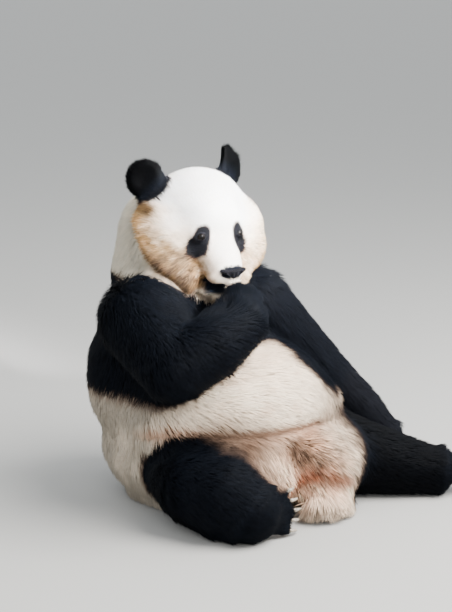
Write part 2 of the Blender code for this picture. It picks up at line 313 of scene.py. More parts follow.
weights = owner_weights(hide)
hide_edges = edges_of(hide)
evenness = weights @ by_part(EVENNESS, OTHER_EVENNESS)
hide_points = relaxed(points_of(hide), hide_edges, evenness, 20, keep_size=True)
hide_points = relaxed(hide_points, hide_edges, evenness * part_weight(weights, "chest", "belly", "neck"), 8)
move_points(hide, hide_points)
depth = even_coat_depth(hide_points, weights, hide_edges)
hide_points = hide_points - points_of(hide, "normal") * (depth + OVERLAP)[:, None]
move_points(hide, relaxed(hide_points, hide_edges, 0.5 * evenness, 4))

# Folds of the seated body: the overhang of the belly above the thighs, the groove over the tail,
# the cleft of the groin, the edge of the ruff over the neck, and the gaps between the toes
CREASE_HEIGHT = 0.262
CREASE_DROP = 0.030  # the fold runs this much lower at the side than in front
GROOVE = [(-0.045, -0.205, 0.080), (-0.020, -0.221, 0.108), (-0.002, -0.250, 0.124), (0.012, -0.268, 0.124),
          (0.040, -0.292, 0.112), (0.080, -0.308, 0.098)]
CLEFT = [(-0.042, -0.226, 0.202), (-0.012, -0.232, 0.160)]
CREASE_DEPTH = 0.010
OVERHANG_DEPTH = 0.016
GROOVE_DEPTH = 0.013
CLEFT_DEPTH = 0.012
NECK_DEPTH = 0.013  # the neck lies this much under the edge of the ruff,
RUFF_SWELL = 0.004  # and the ruff swells by this much before its edge
TOE_DEPTH = 0.0065
TOE_LENGTH = 0.65  # as a share of the way from the claws to the middle of the hand or foot
FAR = 9.0  # a distance beyond any on the animal


def along_line(places, stops):
    """The distance of each place from a line through these stops, and how far along it, from 0 to 1."""
    stops = np.array(stops, float)
    nearest, share = np.full(len(places), FAR), np.zeros(len(places))
    for number, (start, end) in enumerate(zip(stops, stops[1:])):
        way = end - start
        held = ((places - start) @ way / (way @ way)).clip(0, 1)
        gap = length_of(places - start - held[:, None] * way)
        share = np.where(gap < nearest, (number + held) / (len(stops) - 1), share)
        nearest = np.minimum(gap, nearest)
    return nearest, share


def gap_to_line(places, stops):
    return along_line(places, stops)[0]


def below_crease(places, weights):
    """Height below the belly's overhang, and how much of the fold there is at each place."""
    fold = CREASE_HEIGHT - CREASE_DROP * smoothstep(-0.02, 0.12, places[:, 1]) - places[:, 2]
    strength = smoothstep(0.17, 0.05, places[:, 1]) * smoothstep(0.15, 0.04, places[:, 0])
    return fold, strength * part_weight(weights, "belly", "thigh", "tail")


hide_points = points_of(hide)
fold, strength = below_crease(hide_points, weights)
overhang = smoothstep(-0.004, 0.010, fold) * np.exp(-fold.clip(0) / 0.05)
sunk = strength * (CREASE_DEPTH * bump_at(fold - 0.004, 0.012) + OVERHANG_DEPTH * overhang)
sunk += GROOVE_DEPTH * bump_at(gap_to_line(hide_points, GROOVE), 0.012)
local = in_head(hide_points)
behind = behind_fringe(local)
step = NECK_DEPTH * smoothstep(-0.006, 0.005, behind) * np.exp(-behind.clip(0) / 0.035)
step = step - RUFF_SWELL * bump_at(behind + 0.014, 0.014)
sunk += step * below_ears(local) * part_weight(weights, "head", "neck")
sunk += CLEFT_DEPTH * bump_at(gap_to_line(hide_points, CLEFT), 0.016)
for limb, end in (("arm", "hand"), ("leg", "foot")):
    for side in SIDES:
        palm = middle(f"{end}_{side}")
        tips = [middle(f"claw_{limb}_{side}_{n}") for n in range(1, 6)]
        for tip, next_tip in zip(tips, tips[1:]):
            between = (tip + next_tip) / 2
            split = [between, between * (1 - TOE_LENGTH) + palm * TOE_LENGTH]
            sunk += TOE_DEPTH * bump_at(gap_to_line(hide_points, split), 0.0105)
move_points(hide, hide_points - points_of(hide, "normal") * sunk[:, None])

# Finer skin round the eyes and the mouth, for lids and lips
EYE_RADIUS = 0.0112
EYE_LOOKS = (0.42, -0.90, 0.10)  # the way in which the left eye looks, in the head's frame
EYE_SET_BACK = 0.0015
LID_WIDTH, LID_HEIGHT = 0.0098, 0.0068
LID_THICKNESS = 0.0011
LID_RIM = 0.0012
LID_CREST = 1.30  # where the rim stands highest, in units of the lids' slit
LID_DROOP = 0.30  # how steeply the lids' slit falls to its outer corner
SOCKET_DEPTH = 0.0045  # how far the hide passes behind the ball's front
LIP_LINE = [(-0.034, -0.100, -0.104), (-0.024, -0.135, -0.110), (0.0, -0.165, -0.108),
            (0.024, -0.135, -0.110), (0.034, -0.100, -0.104)]
LIP_DEPTH = 0.0075
IN_MOUTH = (0.0, -0.06, -0.10)
FINE_ROUND_EYES = (0.026, 0.021)  # the skin is divided once within each of these distances of an eye,
FINE_ROUND_LIPS = 0.016  # and each time within this distance of the lips
FLOOR_GAP = 0.003  # the hide's height over the floor, where the tufts lie under it
eye_ways, eye_balls = {}, {}
for side, sign in (("right", -1), ("left", 1)):
    eye_ways[side] = unit(head_x * sign * EYE_LOOKS[0] + head_y * EYE_LOOKS[1] + head_z * EYE_LOOKS[2])
    eye_balls[side] = middle(f"eye_{side}") - eye_ways[side] * EYE_SET_BACK


def round_eye(places, side):
    """Places along an eye's own axis: across, up and ahead of its ball, and in units of the lids' slit."""
    away = places - eye_balls[side]
    slit = unit(np.cross(head_z, eye_ways[side])) * (1 if side == "left" else -1)
    slit = unit(slit - head_z * LID_DROOP)
    rise = np.cross(eye_ways[side], slit)
    rise = rise * np.sign(rise @ head_z)
    across, up, ahead = away @ slit, away @ rise, away @ eye_ways[side]
    ring = np.hypot(across / LID_WIDTH, up / LID_HEIGHT)
    return across, up, ahead, np.where(ahead > -0.012, ring, FAR)


def gap_to_eyes(places):
    return np.min([length_of(places - ball) for ball in eye_balls.values()], axis=0)


form = bmesh.new()
form.from_mesh(hide.data)
for reach in FINE_ROUND_EYES:
    form.verts.ensure_lookup_table()
    form.verts.index_update()
    places = np.array([v.co for v in form.verts])
    near = (gap_to_eyes(places) < reach) | (gap_to_line(in_head(places), LIP_LINE) < FINE_ROUND_LIPS)
    edges = [edge for edge in form.edges if near[edge.verts[0].index] and near[edge.verts[1].index]]
    bmesh.ops.subdivide_edges(form, edges=edges, cuts=1, use_grid_fill=True)
bmesh.ops.triangulate(form, faces=[face for face in form.faces if len(face.verts) > 4])
form.to_mesh(hide.data)
form.free()

hide_points = points_of(hide)
hide_edges = edges_of(hide)
hide_points = relaxed(hide_points, hide_edges, 0.5 * smoothstep(0.06, 0.04, gap_to_eyes(hide_points)), 3)
for side in SIDES:
    across, up, ahead, ring = round_eye(hide_points, side)
    dome = np.sqrt((EYE_RADIUS**2 - (across**2 + up**2)).clip(0))
    lid = dome + LID_THICKNESS + LID_RIM * bump_at(ring - LID_CREST, 0.28)
    wanted = np.where(ring < 1.0, dome - SOCKET_DEPTH, lid)
    hide_points += ((wanted - ahead) * smoothstep(3.2, 1.5, ring))[:, None] * eye_ways[side]
lip_gap = gap_to_line(in_head(hide_points), LIP_LINE)
hide_points += unit(from_head(IN_MOUTH) - hide_points) * (LIP_DEPTH * bump_at(lip_gap, 0.0042))[:, None]
hide_points[:, 2] = hide_points[:, 2].clip(FLOOR_GAP)
move_points(hide, hide_points)
hide.data.shade_smooth()
weights = owner_weights(hide)
hide_normals = points_of(hide, "normal")
hide_depth = even_coat_depth(hide_points, weights, hide_edges)
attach(hide, "root")
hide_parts(*FLESH)

# The markings: black ears, eye patches, shoulders, arms and legs on a cream animal, with the stains
# and greys of a wild coat, and painted shade in the folds, under the arm, the cheeks and the ear, on the
# flanks and in the mouth, and painted sheen and shade on some of the black. One set of functions colours the
# hide and every tuft.
WHITE = np.array((0.93, 0.92, 0.90))
CREAM = np.array((0.89, 0.735, 0.57))
SHADED_CREAM = CREAM * (0.76, 0.70, 0.67)
MOTTLED_CREAM = CREAM * (0.70, 0.60, 0.56)
NAPE_CREAM = CREAM * (0.66, 0.72, 0.74)
TAN = np.array((0.37, 0.220, 0.093))
# SHADE_UMBER is the colour of the painted shade under the cheeks
SHADE_UMBER = np.array((0.125, 0.088, 0.055))
BROWN = np.array((0.125, 0.075, 0.050))
GREY = np.array((0.34, 0.295, 0.235))
ROSY = np.array((0.58, 0.30, 0.18))
RAW_ROSY = ROSY * (0.60, 0.40, 0.35)
BLACK = np.array((0.0020, 0.0029, 0.0050))
DARKEST, LIGHTEST = 0.0003, 0.94
PATCH_MIDDLE = (0.0575, -0.005)  # each eye patch: its middle beside and above the face's,
PATCH_AXIS = (-0.3420, 0.9397)  # the way of its long axis, up and inwards,
PATCH_HALF = (0.0460, 0.0212)  # its half length and half width,
PATCH_TAPER = 0.07  # how much narrower its top is,
PATCH_SQUARENESS = 2.5  # and how square its ends are, from 2 for an ellipse
LEG_LINES = {
    "right": [(-0.120, 0.070, 0.130), (-0.226, -0.045, 0.120), (-0.212, -0.118, 0.114),
              (-0.196, -0.192, 0.080)],
    "left": [(0.150, 0.000, 0.140), (0.210, -0.120, 0.125), (0.280, -0.220, 0.100), (0.335, -0.300, 0.082)],
}
LEG_SHARES = (0.0, 0.13, 0.25, 0.35, 0.55, 0.67, 0.75, 0.90, 1.0)
LEG_RADII = (0.121, 0.119, 0.128, 0.131, 0.132, 0.122, 0.110, 0.097, 0.083)
EAR_BASE = [(0.101, 0.004, 0.120), (0.114, 0.008, 0.106), (0.128, 0.022, 0.090)]
EAR_BASE_RADIUS = 0.013
UNDER_EAR = [(0.142, 0.035, 0.064), (0.147, -0.010, 0.062)]
BAND_LOW, BAND_TOP = 0.300, 0.603  # the black band round the chest: its lower edge at the back, its top,
FRONT_RISE, BREAST_RISE = 0.13, 0.07  # and how much higher the lower edge is in front and on the breast
ARM_BAND_SIDE, ARM_BAND_FOOT = 0.034, 0.266  # the band beside the left arm: its inner edge and its foot,
SIDE_SLANT, FOOT_SLANT = 0.85, 0.42  # and how much each of them slants
THIGH_SIDE, THIGH_BACK, THIGH_TOP = 0.116, -0.05, 0.290  # the black inside the left thigh starts here
EAR_REACH, FOOT_REACH = 0.009, 0.004  # how far the black passes beyond the ears and the feet
OWNED_MARGIN = 0.05  # metres of margin between a point wholly outside a part and one wholly in it
black_tree, _ = tree_of_solids(["ear_right", "foot_right", "ear_left", "foot_left"])


def noise(places, scale, seed=0):
    """Smooth random values from about -1 to 1 with features of about this size: a few bent waves."""
    draw = np.random.default_rng(seed)
    total = np.zeros(len(places))
    for _ in range(9):
        direction = unit(draw.normal(size=3))
        wave = places @ direction / scale * draw.uniform(2.0, 5.0) + draw.uniform(0, math.tau)
        total += np.sin(wave + 1.3 * np.sin(wave * 0.37 + draw.uniform(0, math.tau)))
    return total / 3.5


def mixed(first, second, share):
    """This share of the second colour over the first, at each place."""
    return first + (second - first) * np.clip(share, 0, 1)[:, None]


def eye_patch(local):
    """Above 0 inside the dark patches round the eyes, which slope down and out over the cheeks."""
    side, height = np.abs(local[:, 0]) - PATCH_MIDDLE[0], local[:, 2] - PATCH_MIDDLE[1]
    along = side * PATCH_AXIS[0] + height * PATCH_AXIS[1]
    across = side * PATCH_AXIS[1] - height * PATCH_AXIS[0]
    half = PATCH_HALF[1] * (1 - PATCH_TAPER * along / PATCH_HALF[0])
    ring = np.abs(along / PATCH_HALF[0]) ** PATCH_SQUARENESS + np.abs(across / half) ** PATCH_SQUARENESS
    return np.where(local[:, 1] < -0.02, (1 - ring ** (1 / PATCH_SQUARENESS)) * PATCH_HALF[1], -1.0)


def black_margin(places, weights):
    """How far each place lies inside the black parts, in metres, below 0 outside them."""
    x, y, z = places.T
    local = in_head(places)

    # The band round the chest reaches lowest at the back, and runs on down the belly beside the left arm
    low = BAND_LOW + FRONT_RISE * smoothstep(0.06, -0.20, y)
    low = low + BREAST_RISE * smoothstep(-0.14, -0.04, x) * smoothstep(-0.02, -0.08, y)
    from_side = x - ARM_BAND_SIDE - (0.405 - z).clip(0) * SIDE_SLANT
    from_foot = z - ARM_BAND_FOOT - FOOT_SLANT * (x - 0.13).clip(0, 0.13)
    beside_arm = np.minimum(from_side, from_foot) - 0.5 * smoothstep(-0.02, 0.02, y)
    margin = np.minimum(np.maximum(z - low, beside_arm), BAND_TOP - z)

    # The limbs, whose black passes a little beyond them along the legs
    limbs = part_weight(weights, *ARM, *LEG, "ear")
    margin = np.maximum(margin, (limbs - 0.5) * OWNED_MARGIN)
    for side in SIDES:
        gap, share = along_line(places, LEG_LINES[side])
        margin = np.maximum(margin, np.interp(share, LEG_SHARES, LEG_RADII) - gap)

    # Beside the groin the left thigh's inner side is pale
    thigh = np.minimum(np.minimum(x - THIGH_SIDE, THIGH_TOP - z), THIGH_BACK - y)
    groin = smoothstep(-0.03, 0.03, x) * smoothstep(0.30, 0.27, z) * smoothstep(-0.03, -0.09, y)
    margin = margin * (1 - groin) + np.maximum(thigh, (limbs - 0.75) * OWNED_MARGIN) * groin

    # The neck and the head are pale, but for the eye patches and the ears. Ears and feet are black all over
    margin = np.where(part_weight(weights, "neck") > 0.5, np.minimum(margin, BAND_TOP - z), margin)
    face = part_weight(weights, "head", "jaw")
    margin = margin * (1 - face) + eye_patch(local) * face
    margin = np.maximum(margin, (part_weight(weights, "ear") - 0.3) * OWNED_MARGIN)
    near = np.flatnonzero((z > 0.74) | (z < 0.20) & (y < -0.15))
    reach = np.where(z[near] > 0.5, EAR_REACH, FOOT_REACH)
    to_black = np.array([black_tree.find_nearest(Vector(place))[3] for place in places[near]])
    margin[near] = np.maximum(margin[near], reach - to_black)
    return np.maximum(margin, EAR_BASE_RADIUS - gap_to_line(folded(local), EAR_BASE))


def mouth(local):
    """1 on the dark skin of the lips, and on the painted shade in the open mouth between them."""
    # Painted shade in the open mouth between the lips
    inside = smoothstep(0.045, 0.031, np.abs(local[:, 0])) * smoothstep(-0.085, -0.100, local[:, 1])
    inside *= smoothstep(-0.146, -0.131, local[:, 2]) * smoothstep(-0.104, -0.108, local[:, 2])
    return np.maximum(smoothstep(0.0075, 0.0045, gap_to_line(local, LIP_LINE)), inside)


def trunk_colour(places, weights, blotch, fine):
    """Cream in front, grey on the flanks (partly painted shade) and towards the floor, painted shadow under
    the arm, brown and rosy in the folds, with painted shade in the crease and the cleft.
    """
    x, y, z = places.T
    # Grey towards the back: partly the coat's own grey, partly painted shade on the sides turned away from
    # the light
    flank = smoothstep(-0.08, 0.12, y) * (0.98 + 0.25 * blotch)
    colour = mixed(CREAM * 1.05, GREY, flank)
    # Painted shadow of the raised arm: the top of the belly is a darker cream under the paw
    painted_arm_shadow = smoothstep(0.34, 0.46, z) * smoothstep(-0.04, -0.12, y)
    colour = mixed(colour, SHADED_CREAM, painted_arm_shadow * 0.8)
    fold, strength = below_crease(places, weights)
    # Painted shade in the crease under the belly's overhang, as a rosy-brown line
    colour = mixed(colour, ROSY * 0.8, strength * bump_at(fold - 0.008, 0.016) * 0.8)
    groin = smoothstep(0.002, 0.03, fold) * smoothstep(0.02, -0.10, y)
    colour = mixed(colour, ROSY, groin * (0.62 - 0.62 * smoothstep(0.02, 0.10, x) + 0.16 * blotch))
    # Painted shade under the overhang over the right thigh, in brown
    shade_over_thigh = bump_at(fold - 0.022, 0.034) * smoothstep(-0.05, -0.11, x) * (y < -0.05)
    colour = mixed(colour, BROWN * 2.2, shade_over_thigh * 0.5)
    # Brown hair in the groin's cleft, darkened further by painted shade deep in the cleft
    cleft = bump_at(gap_to_line(places, CLEFT), 0.027)
    colour = mixed(colour, BROWN * 1.3, cleft * (1.45 + 0.15 * fine))
    groove, share = along_line(places, GROOVE)
    colour = mixed(colour, RAW_ROSY, bump_at(groove, 0.021) * (1.5 - 0.75 * share))
    mottling = smoothstep(0.1, 1.3, noise(places, 0.034, 3)) * (1 - flank)
    colour = mixed(colour, MOTTLED_CREAM, mottling * 0.42)
    return mixed(colour, GREY, smoothstep(0.090, 0.0, z) * 0.75)


def nape_colour(local, fine):
    """Pale, and tan in the shade where the neck comes out from under the ruff."""
    # Painted shade, in tan, where the neck comes out from under the ruff
    hem_shade = np.exp(-behind_fringe(local).clip(0) / 0.020) * below_ears(local)
    return mixed(NAPE_CREAM, TAN * 0.75, hem_shade * (0.75 + 0.2 * fine))


def face_colour(local, blotch, fine):
    """Bright on the brow and muzzle, warmer and darker towards the fringe, with painted shade at the fringe's
    hem, under the cheeks and under the ear.
    """
    left, back, height = local.T
    side = np.abs(left)
    behind, below = behind_fringe(local), below_ears(local)
    on_right = smoothstep(0.03, 0.0, left)  # that side is painted darker, with the shade under its cheek and at its fringe's hem

    cheek = smoothstep(-0.13, 0.0, behind) * below
    low = smoothstep(0.02, -0.07, height)
    tan = cheek * (0.68 + 1.30 * low + 0.60 * smoothstep(-0.050, 0.0, behind))
    tan = tan * (1 + 0.38 * fine + 0.2 * blotch)
    tan = tan * (1 - 0.60 * smoothstep(0.0, 0.05, left)) * (1 - 0.45 * smoothstep(-0.070, -0.110, back))
    colour = mixed(mixed(WHITE, CREAM, cheek * 1.5 + 0.10 * blotch), TAN, tan)
    # Painted shade under the cheeks, where they face down, on the near side
    painted_cheek_shade = smoothstep(0.025, -0.055, height) * smoothstep(-0.035, -0.075, back)
    painted_cheek_shade = painted_cheek_shade * smoothstep(0.045, 0.085, side) * on_right
    colour = mixed(colour, SHADE_UMBER, painted_cheek_shade * (1 + 0.30 * fine + 0.15 * blotch) * 0.80)
    # Painted shade at the lower hem of the fringe, with brown hair there
    hem_shade = low * smoothstep(-0.050, -0.008, behind) * on_right
    colour = mixed(colour, BROWN * 0.6, hem_shade * (1 + 0.5 * fine) * 0.70)
    # Painted shade, in dark brown, in the gap under the ear
    shade_under_ear = bump_at(gap_to_line(folded(local), UNDER_EAR), 0.020)
    colour = mixed(colour, TAN * 0.32, shade_under_ear * 1.3)

    colour = mixed(colour, nape_colour(local, fine), smoothstep(0.0, 0.010, behind) * below)
    crown = smoothstep(0.02, 0.09, back) * smoothstep(EAR_BOTTOM, EAR_ROOT, height)
    colour = mixed(colour, CREAM, crown * 0.6)
    jowl = smoothstep(-0.085, -0.125, height) * smoothstep(-0.125, -0.06, back) * smoothstep(0.03, 0.06, side)
    colour = mixed(colour, BROWN * 1.3, jowl * 0.65)
    chin = smoothstep(-0.118, -0.134, height) * smoothstep(0.060, 0.045, side)
    colour = mixed(colour, GREY * 1.4, chin * smoothstep(-0.07, -0.09, back) * 0.85)
    between_brows = bump_at(np.hypot(left, height - 0.005), 0.030) * (back < -0.08)
    return mixed(colour, GREY * 1.2, between_brows * 0.22)


def tail_colour(places, blotch):
    """Cream, rosy at its root and along the groove over it, and grey towards the floor."""
    rosy = 0.30 + 0.2 * blotch + 0.6 * bump_at(gap_to_line(places, GROOVE), 0.022)
    return mixed(mixed(CREAM, ROSY, rosy), GREY, smoothstep(0.105, 0.0, places[:, 2]) * 0.90)


# Where the black fades out over some centimetres: along the inner side of the right thigh, and at
# these places on the left thigh and under the breast, each with its middle, strength and radius
THIGH_EDGE = [(-0.211, -0.132, 0.237), (-0.174, -0.165, 0.208), (-0.177, -0.204, 0.179),
              (-0.168, -0.225, 0.150)]
FADED_PLACES = [((0.125, -0.27, 0.220), 1.8, 0.120), ((0.030, -0.09, 0.450), 0.6, 0.070)]
# How much lighter the black hair of some solids is than that of the rest, as a share. Below 0 it is darker.
# This is painted light: a sheen on the eye patches and the left arm, and painted shade on the ears and the
# left leg
PAINTED_SHEEN_AND_SHADE = {
    "head": 2.0, "jaw": 2.0, "ear_right": -0.85, "ear_left": -0.85, "upper_arm_left": 0.8,
    "forearm_left": 1.6, "thigh_left": -0.6, "shin_left": -0.6,
}


def black_layer(places, weights, fine):
    """The colour of the black hair, brown where it fades out and with painted sheen and shade on some parts,
    and how much of it lies at each place.
    """
    head = part_weight(weights, "head", "jaw")
    margin = black_margin(places, weights) + 0.0030 * fine * (1 - head) + 0.0008 * fine * head
    faded = bump_at(gap_to_line(places, THIGH_EDGE), 0.060)
    margin = margin + 0.015 * faded
    for place, strength, radius in FADED_PLACES:
        faded = np.maximum(faded, strength * bump_at(length_of(places - np.array(place)), radius))
    faded = faded * (1 - part_weight(weights, "foot"))
    height = places[:, 2]
    band = smoothstep(0.46, 0.41, height) * smoothstep(0.24, 0.28, height)
    band = band * part_weight(weights, "chest", "belly")
    soft = 0.0030 + (0.0035 + 0.042 * faded + 0.012 * band) * (1 - head)
    colour = mixed(BLACK, BROWN, smoothstep(0.9, -0.3, margin / soft) * (1 - head * 0.8))
    # Painted sheen on the eye patches and the left arm, painted shade on the ears and the left leg
    lighter = weights @ np.array([PAINTED_SHEEN_AND_SHADE.get(name, 0.0) for name in FLESH])
    warmer = 1 - 0.1 * np.outer(lighter.clip(0, 2), (-0.6, 1.0, 2.0))
    return colour * (1 + lighter)[:, None] * warmer, smoothstep(-1.0, 0.6, margin / soft)


NOSE_SKIN_HALF = (0.034, 0.022, 0.0185)  # half the width, depth and height of the bare skin at the nose


def markings(places, weights):
    """The coat's colour at each place."""
    local = in_head(places)
    blotch, fine = noise(places, 0.050, 1), noise(places, 0.013, 2)
    head = part_weight(weights, "head", "jaw")
    colour = trunk_colour(places, weights, blotch, fine)
    colour = mixed(colour, nape_colour(local, fine), part_weight(weights, "neck"))
    colour = mixed(colour, face_colour(local, blotch, fine), head)
    colour = mixed(colour, tail_colour(places, blotch), part_weight(weights, "tail") * 0.8)
    colour = mixed(colour, *black_layer(places, weights, fine))
    nose_skin = smoothstep(1.12, 1.0, length_of((local - NOSE_IN_HEAD) / NOSE_SKIN_HALF))
    bare = np.maximum(mouth(local) * smoothstep(0.3, 0.6, head), nose_skin)
    return mixed(colour, BLACK * 1.6, bare).clip(DARKEST, LIGHTEST)


def colour_points(obj, colours):
    layer = obj.data.color_attributes.new("coat", "FLOAT_COLOR", "POINT")
    rgba = np.ones((len(colours), 4), np.float32)
    rgba[:, :3] = colours
    layer.data.foreach_set("color", rgba.ravel())


COAT_SURFACE = 0.8  # colours are those at this share of the coat's depth
HIDE_SHADE = 0.85  # the hide is a little darker than the hair over it
over_hide = hide_points + hide_normals * (COAT_SURFACE * hide_depth)[:, None]
colour_points(hide, markings(over_hide, weights) * HIDE_SHADE)


class Finish:
    """A material and the one way in which its nodes are added. A socket's name has _ for each space."""

    def __init__(self, name, **values):
        self.material = bpy.data.materials.new(name)
        self.material.use_nodes = True
        self.tree = self.material.node_tree
        self.shader = self.tree.nodes["Principled BSDF"]
        self.feed(self.shader, **values)

    def feed(self, node, **values):
        """Gives a node's sockets their values or links."""
        for label, value in values.items():
            socket = node.inputs[label.replace("_", " ")]
            if isinstance(value, bpy.types.NodeSocket):
                self.tree.links.new(value, socket)
            else:
                socket.default_value = value

    def add(self, kind, settings=None, **values):
        """A node of this type, its settings first and then its sockets' values or links."""
        node = self.tree.nodes.new(kind)
        for label, value in (settings or {}).items():
            if label == "stops":
                ramp = node.color_ramp
                while len(ramp.elements) < len(value):
                    ramp.elements.new(0.5)
                for element, (place, shade) in zip(ramp.elements, value):
                    element.position = place
                    element.color = (*shade, 1.0)
            else:
                setattr(node, label, value)
        self.feed(node, **values)
        return node

    def on(self, obj):
        obj.data.materials.clear()
        obj.data.materials.append(self.material)


leather = Finish("hide_leather", Roughness=0.75, Specular_IOR_Level=0.05)
painted = leather.add("ShaderNodeAttribute", {"attribute_name": "coat"})
place = leather.add("ShaderNodeTexCoord")
pores = leather.add("ShaderNodeTexNoise", Vector=place.outputs["Object"], Scale=260.0, Detail=3.0)
relief = leather.add("ShaderNodeBump", Height=pores.outputs["Fac"], Strength=0.35, Distance=0.002)
leather.feed(leather.shader, Base_Color=painted.outputs["Color"], Normal=relief.outputs["Normal"])
leather.on(hide)

# The hide's own unwrap, which the coat's tufts share by the place of their roots
pick(hide)
hide.data.uv_layers.new(name="OFBake")
bpy.ops.object.mode_set(mode="EDIT")
bpy.ops.mesh.select_all(action="SELECT")
bpy.ops.uv.smart_project(angle_limit=math.radians(66), island_margin=0.002)
bpy.ops.object.mode_set(mode="OBJECT")

# --- The coat -------------------------------------------------------------------------------------
# Coarse outer hair over woolly underfur, in thousands of small locks. Each lock is a thin tapered
# solid with its root in the hide. It rises a little, bends over and lies along the body.
hide.data.calc_loop_triangles()
triangles = read(hide.data.loop_triangles, "vertices", 3, np.int32)
triangle_loops = read(hide.data.loop_triangles, "loops", 3, np.int32)
unwrap = read(hide.data.uv_layers["OFBake"].data, "uv", 2)
corners = hide_points[triangles]
triangle_area = length_of(np.cross(corners[:, 1] - corners[:, 0], corners[:, 2] - corners[:, 0])) / 2
triangle_owner = weights[triangles].sum(axis=1).argmax(axis=1)
nose_tree, _ = tree_of_solids(["nose"])
BARE_LIP = 0.004
BARE_LID = 1.35  # in units of the lids' slit
BARE_NOSE = 0.0025


def gap_to_bare(places):
    """The distance from the eyes' lids, the nose pad and the lips, where no hair grows."""
    gap = gap_to_line(in_head(places), LIP_LINE) - BARE_LIP
    for side in SIDES:
        gap = np.minimum(gap, (round_eye(places, side)[3] - BARE_LID) * LID_HEIGHT)
    close = length_of(places - middle("nose")) < 0.06
    to_pad = [nose_tree.find_nearest(Vector(place))[3] - BARE_NOSE for place in places[close]]
    gap[close] = np.minimum(gap[close], to_pad)
    return gap


def along_limb(places, side, parts, claws):
    """The way from shoulder or hip to the toes, at the nearest point of the limb."""
    stops = [middle(f"{part}_{side}") for part in parts]
    stops.append(sum(middle(f"{claws}_{side}_{n}") for n in range(1, 6)) / 5)
    stops = np.array(stops)
    ways, halves = unit(stops[1:] - stops[:-1]), (stops[1:] + stops[:-1]) / 2
    gaps = np.linalg.norm(places[:, None, :] - halves[None], axis=2)
    shares = bump_at(gaps, 0.09) + 1e-9
    return shares @ ways / shares.sum(axis=1)[:, None]


def along_skin(ways, normals):
    """These directions laid flat on the skin."""
    return unit(ways - normals * (ways * normals).sum(axis=1)[:, None])


DOWN = np.array((0.0, 0.0, -1.0))
LEFTWARDS = np.array((1.0, 0.0, 0.0))
FORWARDS = np.array((0.0, -1.0, 0.0))
FACE_PARTING = (0.0, -0.20, -0.06)  # the hair of the head points away from here, ahead of the nose,
GROIN_PARTING = np.array((0.0, -0.20, 0.20))  # that of the lap from here
TAIL_PARTING = np.array((0.035, -0.255, 0.155))  # and that of the tail from here
SWIRL = 0.15


def lie_of_coat(places, normals, weights):
    """The direction in which the hair lies at each place, along the skin."""
    local = in_head(places)
    x, y, z = places.T
    way = np.zeros_like(places)

    # Over the face from the nose pad up and back, parting round the eyes; out and down through the ruff
    head_way = unit(places - from_head(FACE_PARTING))
    head_way += ruff(local)[:, None] * (DOWN * 0.75 + head_y * 0.45 + np.sign(local[:, :1]) * head_x * 0.25)
    for side in SIDES:
        away = places - eye_balls[side]
        head_way += unit(away) * (1.4 * smoothstep(0.032, 0.012, length_of(away)))[:, None]
    hidden = (smoothstep(0.0, 0.012, behind_fringe(local)) * below_ears(local))[:, None]
    head_way = head_way * (1 - hidden) + (DOWN + head_y * 0.5) * hidden
    way += part_weight(weights, "head", "jaw")[:, None] * head_way
    for side in SIDES:
        ear, ear_middle = solid_weight(weights, f"ear_{side}")[:, None], middle(f"ear_{side}")
        way += ear * (unit(places - ear_middle) * 0.8 + unit(ear_middle - head_origin))
    way += part_weight(weights, "neck")[:, None] * (DOWN + head_y * 0.35)

    # Down the back and shoulders, from the middle of the belly outwards, and away from groin and tail
    way += part_weight(weights, "chest")[:, None] * (DOWN + 0.9 * x[:, None] * LEFTWARDS)
    belly = part_weight(weights, "belly")[:, None]
    in_front = smoothstep(0.20, -0.02, y)[:, None]
    inwards = -np.tanh((x - 0.06) / 0.06)[:, None] * LEFTWARDS + 0.8 * FORWARDS
    way += belly * (DOWN * (1 - 0.45 * in_front) + inwards * in_front)
    groin = (smoothstep(0.26, 0.21, z) * smoothstep(-0.08, -0.16, y))[:, None]
    way += belly * groin * (1.2 * unit(places - GROIN_PARTING) + 0.2 * DOWN)
    way += part_weight(weights, "tail")[:, None] * (1.3 * unit(places - TAIL_PARTING) + 0.3 * DOWN)

    # Along each limb to the toes, hanging from the raised arm
    for side in SIDES:
        arm = solid_weight(weights, *[f"{part}_{side}" for part in ARM])[:, None]
        leg = solid_weight(weights, *[f"{part}_{side}" for part in LEG])[:, None]
        hang = (0.9 if side == "right" else 0.25) * (1 - part_weight(weights, "hand"))
        way += arm * (along_limb(places, side, ARM, "claw_arm") + hang[:, None] * DOWN)
        way += leg * (along_limb(places, side, LEG, "claw_leg") + 0.25 * DOWN)
    way += SWIRL * np.stack([noise(places, 0.060, seed) for seed in (11, 12, 13)], axis=1)
    return along_skin(way, normals)


hide_lie = relaxed(lie_of_coat(hide_points, hide_normals, weights), hide_edges, 0.6, 8)

# Length and half width of a lock in each part
LOCK_LENGTH = {
    "head": 0.024, "jaw": 0.016, "neck": 0.042, "chest": 0.048, "belly": 0.046, "tail": 0.058, "ear": 0.025,
    "upper_arm": 0.050, "forearm": 0.048, "hand": 0.022, "thigh": 0.046, "shin": 0.044, "foot": 0.022,
}
LOCK_HALF = {
    "head": 0.0010, "jaw": 0.0009, "neck": 0.0014, "chest": 0.0015, "belly": 0.0012, "tail": 0.0017,
    "ear": 0.0010, "upper_arm": 0.0013, "forearm": 0.0013, "hand": 0.0011, "thigh": 0.0013, "shin": 0.0013,
    "foot": 0.0011,
}
